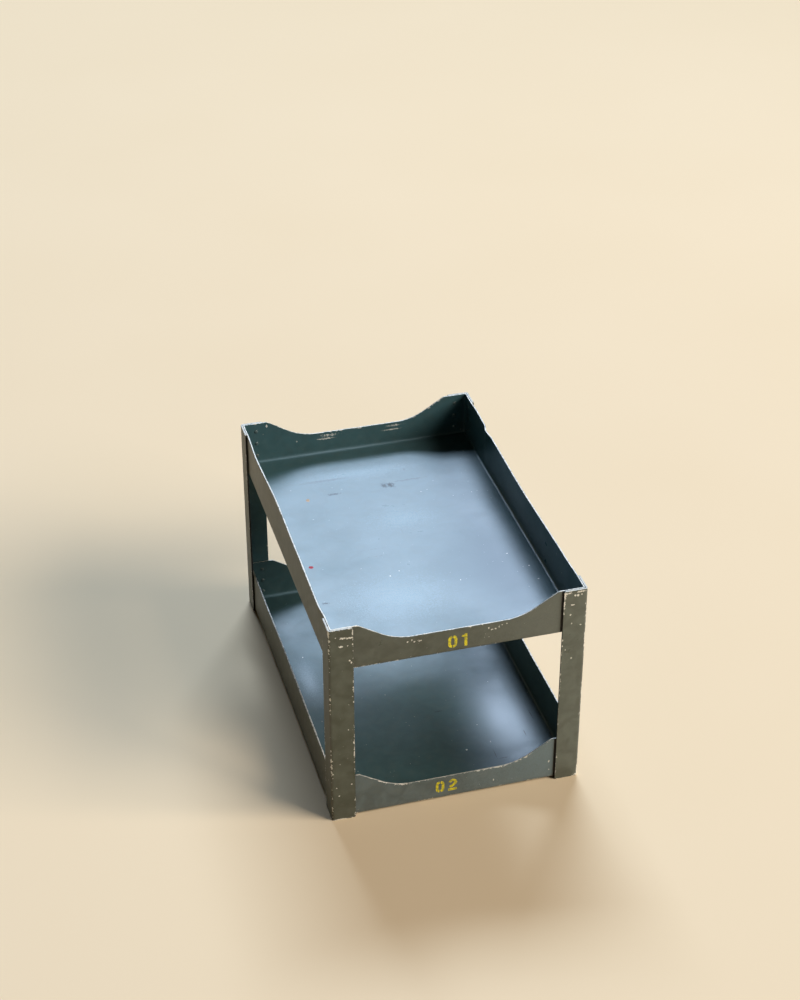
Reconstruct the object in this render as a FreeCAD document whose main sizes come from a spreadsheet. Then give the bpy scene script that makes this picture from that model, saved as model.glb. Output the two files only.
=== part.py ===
import FreeCAD, Part

import math
import os

import Sketcher

# Two-tier desk tray of painted sheet metal, in millimetres and degrees.
# The frame's origin is on the floor, under the middle of the tray.
# X runs to the right, Y to the rear and Z up.
# Four corner posts, each an angle, clasp two folded pans from outside.
# A row of small rivets holds each post flange to each pan.

SIZES = {
    # Outside of the four posts
    "overall_width": 255.0,
    "overall_depth": 385.0,
    "overall_height": 232.0,
    # Corner posts
    "post_flange": 24.0,
    "post_sheet": 1.8,
    "post_bend_radius": 0.6,
    "post_corner_radius": 2.5,
    # Folded pans
    "tray_sheet": 1.3,
    "tray_height": 50.0,
    "tray_bend_radius": 2.0,
    "lower_tray_lift": 1.5,
    "fit_gap": 0.4,
    # Scoops in the pans' front and rear walls
    "scoop_margin": 4.5,
    "scoop_depth": 23.0,
    "scoop_slope": 32.0,
    "scoop_radius": 60.0,
    "scoop_shoulder_radius": 4.0,
    # Rivets
    "rivet_count": 3,
    "rivet_inset": 16.0,
    "rivet_margin": 10.0,
    "rivet_shank_diameter": 2.4,
    "rivet_head_diameter": 4.4,
    "rivet_head_height": 0.8,
    "rivet_sink_diameter": 4.4,
    "rivet_sink_depth": 1.0,
    "rivet_clearance": 0.05,
}

# How high each pan's underside is
TRAY_BOTTOMS = {
    "lower": "Sizes.lower_tray_lift",
    "upper": "Sizes.overall_height - Sizes.tray_height",
}

# From one shoulder of a scoop to the other
SCOOP_WIDTH = "Sizes.overall_width - 2 * (Sizes.post_flange + Sizes.scoop_margin)"

# A rivet's radii, and its depths from the outer face of the flange
SINK = "Sizes.rivet_sink_diameter / 2"
SHANK = "Sizes.rivet_shank_diameter / 2"
HEAD = "Sizes.rivet_head_diameter / 2"
HEAD_SEAT = "Sizes.post_sheet + Sizes.fit_gap + Sizes.tray_sheet"
HEAD_CROWN = f"{HEAD_SEAT} + Sizes.rivet_head_height"

# The radii of the holes round it
SINK_HOLE = f"{SINK} + Sizes.rivet_clearance"
SHANK_HOLE = f"{SHANK} + Sizes.rivet_clearance"

# Corner, sign of X, sign of Y, and turn of what is made for the front left corner
CORNERS = (
    ("front_left", -1, -1, 0),
    ("front_right", 1, -1, 90),
    ("rear_right", 1, 1, 180),
    ("rear_left", -1, 1, 270),
)

# Flange, the axis that it follows from the corner, and the turn of its rivets from Y
FLANGES = (
    ("Front", "x", 0),
    ("Side", "y", -90),
)

WHOLE_TURN = 360

# Lengths that differ by less are equal, and so are volumes that differ by a smaller share
SAME_LENGTH = 1e-4
SAME_VOLUME = 1e-3

# How a sketch numbers an edge's points and its own axes
START, END, CENTRE = 1, 2, 3
LEVEL_AXIS, UPRIGHT_AXIS = -1, -2
ORIGIN = (LEVEL_AXIS, START)


def fill_sheet(doc):
    """Writes each driving dimension into a cell that carries its name."""
    sheet = doc.addObject("Spreadsheet::Sheet", "Sizes")
    for row, (name, value) in enumerate(SIZES.items(), start=1):
        sheet.set(f"A{row}", name)
        sheet.set(f"B{row}", str(value))
        sheet.setAlias(f"B{row}", name)
    doc.recompute()


def value_of(owner, expression):
    """The present value of an expression of the driving dimensions."""
    return float(owner.evalExpression(expression))


def between_posts(overall):
    """How wide or deep a pan is: what the posts leave of an overall size."""
    return f"Sizes.{overall} - 2 * (Sizes.post_sheet + Sizes.fit_gap)"


def lowest_rivet(level):
    """How high the lowest rivets of a pan are."""
    return f"{TRAY_BOTTOMS[level]} + Sizes.rivet_margin"


def origin_part(body, role):
    """Finds one of a body's own origin planes or axes."""
    return next(part for part in body.Origin.OriginFeatures if part.Role == role)


def new_body(doc, node):
    """Starts a piece under its node's name."""
    body = doc.addObject("PartDesign::Body", node.title().replace("_", ""))
    body.Label = node
    return body


def new_sketch(body, name, plane):
    """Starts a sketch on one of a body's own origin planes."""
    sketch = body.newObject("Sketcher::SketchObject", name)
    sketch.AttachmentSupport = [(origin_part(body, plane), "")]
    sketch.MapMode = "FlatFace"
    return sketch


def new_feature(body, kind, name, profile):
    """Adds a feature that is made from a sketch."""
    feature = body.newObject(f"PartDesign::{kind}", name)
    feature.Profile = profile
    return feature


def circle_at(centre, radius):
    """A circle in a sketch's plane."""
    return Part.Circle(FreeCAD.Vector(*centre), FreeCAD.Vector(0, 0, 1), radius)


def draw(sketch, curve):
    """Draws one edge and gives its number."""
    return sketch.addGeometry(curve, False)


def draw_line(sketch, start, end):
    """Draws a straight edge and gives its number."""
    return draw(sketch, Part.LineSegment(FreeCAD.Vector(*start), FreeCAD.Vector(*end)))


def draw_lines(sketch, points):
    """Draws straight edges from point to point."""
    return [draw_line(sketch, start, end) for start, end in zip(points, points[1:])]


def tie(sketch, kind, *places):
    """Adds a constraint that has no size."""
    sketch.addConstraint(Sketcher.Constraint(kind, *places))


def join(sketch, edges, kind="Coincident"):
    """Joins each edge's end to the start of the next."""
    for first, second in zip(edges, edges[1:]):
        tie(sketch, kind, first, END, second, START)


def bind(sketch, kind, places, expression):
    """Adds a constraint whose size follows the driving dimensions."""
    size = value_of(sketch, expression)
    if kind == "Angle":
        size = math.radians(size)
    index = sketch.addConstraint(Sketcher.Constraint(kind, *places, size))
    sketch.setExpression(f"Constraints[{index}]", expression)


def bind_point(sketch, point, across, up):
    """Sets both coordinates of a point: to a size, or to zero where one is None."""
    for kind, axis, expression in (
        ("DistanceX", UPRIGHT_AXIS, across),
        ("DistanceY", LEVEL_AXIS, up),
    ):
        if expression is None:
            tie(sketch, "PointOnObject", *point, axis)
        else:
            bind(sketch, kind, (*ORIGIN, *point), expression)


def straight_edges(shape, test):
    """Names the straight edges whose middle point and direction pass a test."""
    return [
        f"Edge{index}"
        for index, edge in enumerate(shape.Edges, start=1)
        if isinstance(edge.Curve, Part.Line)
        and test(edge.CenterOfMass, edge.tangentAt(edge.FirstParameter))
    ]


def fillet(body, name, base, edges, radius):
    """Rounds the named edges of a body's last feature."""
    feature = body.newObject("PartDesign::Fillet", name)
    feature.Base = (base, edges)
    feature.setExpression("Radius", radius)
    body.Document.recompute()
    return feature


def through_cut(body, name, outline):
    """Cuts an outline both ways through a whole body."""
    cut = new_feature(body, "Pocket", name, outline)
    cut.SideType = "Symmetric"
    cut.Type = "ThroughAll"
    body.Document.recompute()
    return cut


def row_of(body, originals):
    """Repeats the lowest rivets, or their holes, up the rows."""
    row = body.newObject("PartDesign::LinearPattern", "RivetRows")
    row.Originals = originals
    row.Direction = (origin_part(body, "Z_Axis"), [""])
    row.setExpression("Occurrences", "Sizes.rivet_count")
    row.setExpression("Length", "Sizes.tray_height - 2 * Sizes.rivet_margin")
    body.Tip = row
    body.Document.recompute()
    return row


def check_cut(before, after, expected):
    """Stops the build if a cut took away another volume than it should."""
    removed = before.Shape.Volume - after.Shape.Volume
    if not math.isclose(removed, expected, rel_tol=SAME_VOLUME):
        raise RuntimeError(f"{after.Name} took {removed:.3f} mm3, not {expected:.3f}")


def place(body, x, y, z, turn=0):
    """Puts a piece in the tray's frame, where the driving dimensions say."""
    turned = FreeCAD.Rotation(FreeCAD.Vector(0, 0, 1), turn)
    body.Placement = FreeCAD.Placement(FreeCAD.Vector(0, 0, 0), turned)
    for axis, expression in (("x", x), ("y", y), ("z", z)):
        body.setExpression(f".Placement.Base.{axis}", expression)


def place_in_corner(body, x_sign, y_sign, turn, z="0"):
    """Puts a piece that was made for the front left corner in its own corner."""
    x = f"{x_sign} * Sizes.overall_width / 2"
    y = f"{y_sign} * Sizes.overall_depth / 2"
    place(body, x, y, z, turn)


def pan_block(body):
    """A pan's outside, as a block that fits between the posts."""
    wide, deep = between_posts("overall_width"), between_posts("overall_depth")
    right, rear = value_of(body, wide) / 2, value_of(body, deep) / 2
    corners = ((-right, -rear), (right, -rear), (right, rear), (-right, rear), (-right, -rear))
    outline = new_sketch(body, "PanOutline", "XY_Plane")
    front_edge, right_edge, rear_edge, left_edge = draw_lines(outline, corners)
    join(outline, (front_edge, right_edge, rear_edge, left_edge, front_edge))
    for edge in (front_edge, rear_edge):
        tie(outline, "Horizontal", edge)
    for edge in (right_edge, left_edge):
        tie(outline, "Vertical", edge)
    tie(outline, "Symmetric", front_edge, START, rear_edge, START, *ORIGIN)
    bind(outline, "DistanceX", (front_edge, START, front_edge, END), wide)
    bind(outline, "DistanceY", (right_edge, START, right_edge, END), deep)
    block = new_feature(body, "Pad", "PanBlock", outline)
    block.setExpression("Length", "Sizes.tray_height")
    body.Document.recompute()
    return block


def hollow_pan(body, block):
    """Rounds a pan's lower edges and hollows it to the sheet's thickness."""

    def at_bottom(middle, along):
        return middle.z < SAME_LENGTH

    lower = straight_edges(block.Shape, at_bottom)
    bends = fillet(body, "Bends", block, lower, "Sizes.tray_bend_radius + Sizes.tray_sheet")
    heights = [face.CenterOfMass.z for face in bends.Shape.Faces]
    pan = body.newObject("PartDesign::Thickness", "Pan")
    pan.Base = (bends, [f"Face{heights.index(max(heights)) + 1}"])
    pan.Reversed = True
    pan.setExpression("Value", "Sizes.tray_sheet")
    body.Document.recompute()
    return pan


def scoop_outline(body):
    """A scoop: shoulders at the rim, slopes, round stretches and a flat low edge."""
    sketch = new_sketch(body, "ScoopOutline", "XZ_Plane")
    half = value_of(sketch, SCOOP_WIDTH) / 2
    rim = value_of(sketch, "Sizes.tray_height")
    depth = value_of(sketch, "Sizes.scoop_depth")
    radius = value_of(sketch, "Sizes.scoop_radius")
    slope = math.radians(value_of(sketch, "Sizes.scoop_slope"))
    low = rim - depth
    # Each slope falls until the round stretch can take up the rest
    fall = depth - radius * (1 - math.cos(slope))
    touch_x, touch_y = half - fall / math.tan(slope), rim - fall
    flat = touch_x - radius * math.sin(slope)
    down = 1.5 * math.pi
    left_round = Part.ArcOfCircle(circle_at((-flat, low + radius), radius), down - slope, down)
    right_round = Part.ArcOfCircle(circle_at((flat, low + radius), radius), down, down + slope)
    open_rim = draw_line(sketch, (half, rim), (-half, rim))
    left_slope = draw_line(sketch, (-half, rim), (-touch_x, touch_y))
    left_arc = draw(sketch, left_round)
    low_edge = draw_line(sketch, (-flat, low), (flat, low))
    right_arc = draw(sketch, right_round)
    right_slope = draw_line(sketch, (touch_x, touch_y), (half, rim))
    join(sketch, (right_slope, open_rim, left_slope))
    join(sketch, (left_slope, left_arc, low_edge, right_arc, right_slope), "Tangent")
    tie(sketch, "Symmetric", open_rim, START, open_rim, END, UPRIGHT_AXIS)
    tie(sketch, "Symmetric", low_edge, START, low_edge, END, UPRIGHT_AXIS)
    tie(sketch, "Equal", left_arc, right_arc)
    bind(sketch, "DistanceX", (open_rim, END, open_rim, START), SCOOP_WIDTH)
    bind(sketch, "DistanceY", (*ORIGIN, open_rim, START), "Sizes.tray_height")
    bind(sketch, "DistanceY", (low_edge, END, open_rim, START), "Sizes.scoop_depth")
    bind(sketch, "Radius", (left_arc,), "Sizes.scoop_radius")
    bind(sketch, "Angle", (left_slope, START, open_rim, END), "Sizes.scoop_slope")
    return sketch


def cut_scoops(body):
    """Cuts a scoop through the front and rear walls and rounds its shoulders."""
    scoops = through_cut(body, "Scoops", scoop_outline(body))
    half = value_of(body, SCOOP_WIDTH) / 2
    rim = value_of(body, "Sizes.tray_height")

    def on_shoulder(middle, along):
        in_place = math.dist((abs(middle.x), middle.z), (half, rim)) < SAME_LENGTH
        return in_place and abs(along.y) > 1 - SAME_LENGTH

    shoulders = straight_edges(scoops.Shape, on_shoulder)
    return fillet(body, "Shoulders", scoops, shoulders, "Sizes.scoop_shoulder_radius")


def lowest_holes(body, name, plane, overall):
    """Drills the lowest rivet hole at both ends of two opposite walls."""
    outline = new_sketch(body, f"{name}Outline", plane)
    radius = value_of(outline, SHANK_HOLE)
    up = "Sizes.rivet_margin"
    for side in (-1, 1):
        across = f"{side} * (Sizes.{overall} / 2 - Sizes.rivet_inset)"
        centre = value_of(outline, across), value_of(outline, up)
        hole = draw(outline, circle_at(centre, radius))
        bind_point(outline, (hole, CENTRE), across, up)
        bind(outline, "Radius", (hole,), SHANK_HOLE)
    return through_cut(body, name, outline)


def make_tray(doc, level):
    """One folded pan, with scooped ends and holes for its rivets."""
    body = new_body(doc, f"{level}_tray")
    hollow_pan(body, pan_block(body))
    scooped = cut_scoops(body)
    ends = lowest_holes(body, "EndHoles", "XZ_Plane", "overall_width")
    sides = lowest_holes(body, "SideHoles", "YZ_Plane", "overall_depth")
    drilled = row_of(body, [ends, sides])
    holes = len(CORNERS) * len(FLANGES) * value_of(body, "Sizes.rivet_count")
    hole_area = math.pi * value_of(body, SHANK_HOLE) ** 2
    check_cut(scooped, drilled, holes * hole_area * value_of(body, "Sizes.tray_sheet"))
    place(body, "0", "0", TRAY_BOTTOMS[level])
    return body


def upright_edge(shape, distance):
    """Names the upright edge that stands this far from both outer faces of a post."""

    def in_place(middle, along):
        off_line = math.dist((middle.x, middle.y), (distance, distance))
        return off_line < SAME_LENGTH and abs(along.z) > 1 - SAME_LENGTH

    return straight_edges(shape, in_place)


def plain_angle(body):
    """A post before its holes: an angle with round bends and round flange corners."""
    flange = value_of(body, "Sizes.post_flange")
    thick = value_of(body, "Sizes.post_sheet")
    height = value_of(body, "Sizes.overall_height")
    front_tip, side_tip = (flange, thick), (thick, flange)
    corners = ((0, 0), (flange, 0), front_tip, (thick, thick), side_tip, (0, flange), (0, 0))
    section = new_sketch(body, "PostSection", "XY_Plane")
    edges = draw_lines(section, corners)
    join(section, (*edges, edges[0]))
    for edge in edges[0::2]:
        tie(section, "Horizontal", edge)
    for edge in edges[1::2]:
        tie(section, "Vertical", edge)
    for corner, across, deep in (
        ((0, 0), None, None),
        (front_tip, "Sizes.post_flange", "Sizes.post_sheet"),
        (side_tip, "Sizes.post_sheet", "Sizes.post_flange"),
    ):
        bind_point(section, (edges[corners.index(corner)], START), across, deep)
    angle = new_feature(body, "Pad", "Angle", section)
    angle.setExpression("Length", "Sizes.overall_height")
    body.Document.recompute()

    inner = upright_edge(angle.Shape, thick)
    bend = fillet(body, "InnerBend", angle, inner, "Sizes.post_bend_radius")
    outer = upright_edge(bend.Shape, 0)
    bend = fillet(body, "OuterBend", bend, outer, "Sizes.post_bend_radius + Sizes.post_sheet")

    def at_flange_corner(middle, along):
        at_end = min(middle.z, height - middle.z) < SAME_LENGTH
        return at_end and max(middle.x, middle.y) > flange - SAME_LENGTH

    tips = straight_edges(bend.Shape, at_flange_corner)
    return fillet(body, "FlangeCorners", bend, tips, "Sizes.post_corner_radius")


def draw_steps(sketch, steps):
    """Draws straight edges through points given as a radius and a depth."""
    points = [
        tuple(0 if size is None else value_of(sketch, size) for size in step) for step in steps
    ]
    edges = draw_lines(sketch, points)
    join(sketch, edges)
    for edge, step in zip(edges, steps):
        bind_point(sketch, (edge, START), *step)
    bind_point(sketch, (edges[-1], END), *steps[-1])
    return edges


def draw_hole(sketch):
    """Half of a countersunk hole through a post's flange."""
    steps = (
        (None, None),
        (SINK_HOLE, None),
        (SHANK_HOLE, "Sizes.rivet_sink_depth"),
        (SHANK_HOLE, "Sizes.post_sheet"),
        (None, "Sizes.post_sheet"),
    )
    edges = draw_steps(sketch, steps)
    axis_edge = draw_line(sketch, (0, value_of(sketch, "Sizes.post_sheet")), (0, 0))
    join(sketch, (edges[-1], axis_edge, edges[0]))


def draw_rivet(sketch):
    """Half of a rivet: countersunk end, shank, and a low round head inside the pan."""
    steps = (
        (None, None),
        (SINK, None),
        (SHANK, "Sizes.rivet_sink_depth"),
        (SHANK, HEAD_SEAT),
        (HEAD, HEAD_SEAT),
    )
    edges = draw_steps(sketch, steps)
    head = value_of(sketch, HEAD)
    height = value_of(sketch, "Sizes.rivet_head_height")
    crown = value_of(sketch, HEAD_CROWN)
    dome_radius = (head**2 + height**2) / (2 * height)
    dome_centre = (0, crown - dome_radius)
    rise = math.asin((dome_radius - height) / dome_radius)
    dome = draw(sketch, Part.ArcOfCircle(circle_at(dome_centre, dome_radius), rise, math.pi / 2))
    axis_edge = draw_line(sketch, (0, crown), (0, 0))
    join(sketch, (edges[-1], dome, axis_edge, edges[0]))
    bind_point(sketch, (dome, END), None, HEAD_CROWN)
    tie(sketch, "PointOnObject", dome, CENTRE, UPRIGHT_AXIS)


def turned_feature(body, kind, name, flange, up, draw_outline):
    """Turns half an outline about the axis of one flange's lowest rivet.

    The axis is the outline's upright axis. It starts on the flange's outer face
    and points into the pan.
    """
    axis, turn = flange
    outline = new_sketch(body, f"{name}Outline", "XY_Plane")
    turned = FreeCAD.Rotation(FreeCAD.Vector(0, 0, 1), turn)
    outline.AttachmentOffset = FreeCAD.Placement(FreeCAD.Vector(0, 0, 0), turned)
    outline.setExpression(f".AttachmentOffset.Base.{axis}", "Sizes.rivet_inset")
    outline.setExpression(".AttachmentOffset.Base.z", up)
    draw_outline(outline)
    feature = new_feature(body, kind, name, outline)
    feature.ReferenceAxis = (outline, ["V_Axis"])
    feature.Angle = WHOLE_TURN
    body.Document.recompute()
    return feature


def sunk_hole_volume(body):
    """What one countersunk hole takes out of a post."""
    wide, narrow = value_of(body, SINK_HOLE), value_of(body, SHANK_HOLE)
    depth = value_of(body, "Sizes.rivet_sink_depth")
    cone = math.pi * depth * (wide**2 + wide * narrow + narrow**2) / 3
    return cone + math.pi * narrow**2 * (value_of(body, "Sizes.post_sheet") - depth)


def make_post(doc, corner, x_sign, y_sign, turn):
    """One corner post, countersunk in both flanges for the rivets of both pans."""
    body = new_body(doc, f"{corner}_post")
    post = plain_angle(body)
    for level in TRAY_BOTTOMS:
        holes = [
            turned_feature(body, "Groove", f"{name}Hole", flange, lowest_rivet(level), draw_hole)
            for name, *flange in FLANGES
        ]
        drilled = row_of(body, holes)
        count = len(FLANGES) * value_of(body, "Sizes.rivet_count")
        check_cut(post, drilled, count * sunk_hole_volume(body))
        post = drilled
    place_in_corner(body, x_sign, y_sign, turn)
    return body


def make_rivets(doc, corner, x_sign, y_sign, turn, level):
    """The rivets that hold one pan in one post, a row through each flange."""
    body = new_body(doc, f"{corner}_{level}_rivets")
    rivets = [
        turned_feature(body, "Revolution", f"{name}Rivet", flange, "0", draw_rivet)
        for name, *flange in FLANGES
    ]
    row_of(body, rivets)
    place_in_corner(body, x_sign, y_sign, turn, lowest_rivet(level))
    return body


def check_document(doc, pieces):
    """Stops the build if any object failed or any piece isn't sound."""
    doc.recompute()
    for item in doc.Objects:
        failed = {"Invalid", "Error"}.intersection(item.State)
        if failed:
            raise RuntimeError(f"{item.Label} is {', '.join(sorted(failed))}")
        if item.isDerivedFrom("Sketcher::SketchObject") and not item.FullyConstrained:
            raise RuntimeError(f"{item.Label} isn't fully constrained")
    for body in pieces:
        if body.Shape.isNull() or not body.Shape.isValid():
            raise RuntimeError(f"{body.Label} has no valid shape")


def write_pieces(pieces):
    """Writes each piece to a file of its own, named after its node."""
    os.makedirs("parts", exist_ok=True)
    for body in pieces:
        body.Shape.exportStep(f"parts/{body.Label}.step")
        print(f"{body.Label}: {len(body.Shape.Solids)} solid(s), {body.Shape.Volume:.1f} mm3")


def main():
    """Builds the whole tray and writes its pieces."""
    doc = FreeCAD.newDocument("DeskTray")
    fill_sheet(doc)
    pieces = [make_tray(doc, level) for level in TRAY_BOTTOMS]
    for corner in CORNERS:
        pieces.append(make_post(doc, *corner))
        for level in TRAY_BOTTOMS:
            pieces.append(make_rivets(doc, *corner, level))
    check_document(doc, pieces)
    write_pieces(pieces)


if __name__ == "__main__":
    main()
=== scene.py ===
import logging
import math
from dataclasses import dataclass, field
from enum import Enum
from typing import Any, Callable, Iterable, Sequence

import bmesh
import bpy
import numpy as np
from mathutils import Matrix, Vector


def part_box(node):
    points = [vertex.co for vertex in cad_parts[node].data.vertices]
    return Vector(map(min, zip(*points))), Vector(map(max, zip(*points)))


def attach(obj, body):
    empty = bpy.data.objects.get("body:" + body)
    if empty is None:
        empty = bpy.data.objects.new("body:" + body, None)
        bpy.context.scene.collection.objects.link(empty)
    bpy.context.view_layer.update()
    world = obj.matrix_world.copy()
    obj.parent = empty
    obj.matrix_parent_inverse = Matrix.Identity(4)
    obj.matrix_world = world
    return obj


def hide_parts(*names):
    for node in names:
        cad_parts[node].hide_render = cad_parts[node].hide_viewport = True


# A two-tier desk tray of painted sheet steel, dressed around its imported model.
# Sizes here are real ones in millimetres, in the model's own frame.
# X runs to the right, Y to the rear and Z up. Meshes are turned to metres when they are made.

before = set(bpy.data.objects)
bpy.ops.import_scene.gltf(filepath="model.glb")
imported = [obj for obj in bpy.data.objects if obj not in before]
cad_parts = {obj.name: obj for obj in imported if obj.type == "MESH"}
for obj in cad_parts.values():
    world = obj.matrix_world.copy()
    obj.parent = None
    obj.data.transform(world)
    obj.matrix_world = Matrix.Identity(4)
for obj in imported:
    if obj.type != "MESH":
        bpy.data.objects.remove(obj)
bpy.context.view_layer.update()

MM = 0.001
BODY = "root"

# Photograph's frame, in pixels
PICTURE_SIZE = (800, 1000)

# Where a point's trait fades out, counted from the edge that it tells of
WEAR_REACH = 3.0

# Further off than any mark reaches, counted in its own reaches
OUT_OF_REACH = 9.0
# Noise strays about a quarter from its middle, and this brings that to about 1
RAGGEDNESS = 4.0

# Faces that meet at more degrees than this keep a hard edge between them
HARD_EDGE = 32.0

# Seeds of the two kinds of random shape
DENT_SEED = 11
BRUSH_SEED = 5
# How many waves make a sheet's ripples, and how much their lengths differ
WAVES = 6
WAVE_STRETCH = (0.7, 1.6)

Place = tuple[float, float, float]
Range = tuple[float, float]
Socket = bpy.types.NodeSocket
Tree = bpy.types.NodeTree
Inputs = dict[int | str, Any] | Sequence[Any]
Bend = Callable[[np.ndarray], np.ndarray]


class Trait(Enum):
    """What a point of the sheet tells its finish, each from 0 to 1."""

    CUT_EDGE = "cut_edge"
    BENT_EDGE = "bent_edge"
    BARE_RIM = "bare_rim"
    # Upright cuts of the flanges: dark dirt, and painted shade
    DIRT_AND_SHADE_CUT = "dirt_and_shade_cut"
    INSIDE = "inside"
    SIDE = "side"


class Slot(Enum):
    """The record's material slots."""

    SHEET = "painted_sheet"
    POST = "painted_post"
    RIVET = "painted_rivet"


def linear(colour: str) -> tuple[float, float, float, float]:
    """Turns an sRGB colour to the linear one that shaders work with.

    Args:
        colour: the sRGB colour, as in "#5F6150".

    Returns:
        Red, green, blue and an alpha of 1.
    """
    channels = []
    for start in (1, 3, 5):
        value = int(colour[start : start + 2], 16) / 255
        channels.append(value / 12.92 if value <= 0.04045 else ((value + 0.055) / 1.055) ** 2.4)
    return (*channels, 1.0)


def feed(node: bpy.types.Node, inputs: Inputs) -> None:
    """Sets a node's inputs.

    Args:
        node: the node.
        inputs: values, or the sockets that feed it, in order or by number or name.
    """
    for place, value in inputs.items() if isinstance(inputs, dict) else enumerate(inputs):
        if isinstance(value, Socket):
            node.id_data.links.new(value, node.inputs[place])
        else:
            node.inputs[place].default_value = value


def add_node(
    tree: Tree, kind: str, inputs: Inputs = (), output: int | str = 0, **settings: Any
) -> Socket:
    """Adds a node with its settings and links.

    Args:
        tree: the node tree that it goes into.
        kind: Blender's name for the kind of node, without "ShaderNode".
        inputs: what goes into it.
        output: the number or name of the output that is wanted.
        settings: the node's other settings.

    Returns:
        That output.
    """
    node = tree.nodes.new("ShaderNode" + kind)
    for name, value in settings.items():
        setattr(node, name, value)
    feed(node, inputs)
    return node.outputs[output]


def directly_seen(tree: Tree) -> Socket:
    """Tells what is seen from what is lit.

    Args:
        tree: the node tree.

    Returns:
        1 for the camera and for gloss and glass, and 0 for scattered light.
    """
    seen = add_node(tree, "LightPath", output="Is Camera Ray")
    rays = seen.node.outputs
    sharp = add_node(tree, "Math", (rays["Is Glossy Ray"], rays["Is Transmission Ray"]))
    return add_node(tree, "Math", (seen, sharp), use_clamp=True)


def lay_coats(tree: Tree, ground: Any, *coats: tuple[Any, Socket]) -> Socket:
    """Lays colours over each other.

    Args:
        tree: the node tree.
        ground: the lowest colour, as sRGB or as a socket.
        coats: the colours over it, each with its share.

    Returns:
        The colour that shows.
    """
    found = linear(ground) if isinstance(ground, str) else ground
    for coat, share in coats:
        over = linear(coat) if isinstance(coat, str) else coat
        found = add_node(tree, "Mix", {0: share, 6: found, 7: over}, 2, data_type="RGBA")
    return found


def start_material(name: str, plain: Inputs) -> tuple[bpy.types.Material, bpy.types.Node, Socket]:
    """Starts a material.

    Args:
        name: its name.
        plain: what is the same all over the surface, for the shader's own sockets.

    Returns:
        The material, its Principled shader, and the place on the object.
    """
    made = bpy.data.materials.new(name)
    made.use_nodes = True
    shader = made.node_tree.nodes["Principled BSDF"]
    feed(shader, plain)
    return made, shader, add_node(made.node_tree, "TexCoord", output="Object")


@dataclass(frozen=True)
class Pattern:
    """Cloudy noise of a real size in millimetres."""

    size: float
    detail: float = 2
    twist: float = 0

    def inputs(self, place: Socket) -> Inputs:
        """What its node gets at a place."""
        scale = 1 / (self.size * MM)
        return {0: place, "Scale": scale, "Detail": self.detail, "Distortion": self.twist}


@dataclass(frozen=True)
class Mark:
    """A small spot on a surface: a chip, a scuff, a speck, or a patch of painted light and shade.

    Its size is its reach along each axis, and a rough one has a ragged outline.
    """

    place: Place
    size: Place
    rough: float = 0.6


@dataclass(frozen=True)
class Face:
    """A flat face that marks lie on, by its axis and its height along it.

    A mark on it reaches this far to both sides of it.
    """

    axis: int
    height: float
    reach: float = 1.5

    def marks(self, *rows: tuple[float, ...]) -> tuple[Mark, ...]:
        """Makes marks on the face.

        Args:
            rows: each mark's two places on the face, its two sizes and, if need be, its roughness.

        Returns:
            The marks.
        """
        found = []
        for row in rows:
            place, size = list(row[:2]), list(row[2:4])
            place.insert(self.axis, self.height)
            size.insert(self.axis, self.reach)
            found.append(Mark(tuple(place), tuple(size), *row[4:]))
        return tuple(found)


@dataclass(frozen=True)
class StainAndPaintedLight:
    """Something stuck on the paint or rubbed into it, in some places, and also patches of painted
    light and shade.

    It is full out to its core, a share of each mark's reach, and fades from there.
    """

    colour: str
    roughness: float
    marks: Sequence[Mark]
    core: float = 0.8


@dataclass(frozen=True)
class Shared:
    """What all nodes of an enamel share: their tree, and what they know of a place on the sheet."""

    tree: Tree
    place: Socket
    smudge: Socket
    ragged: Socket
    traits: dict[Trait, Socket]


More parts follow.
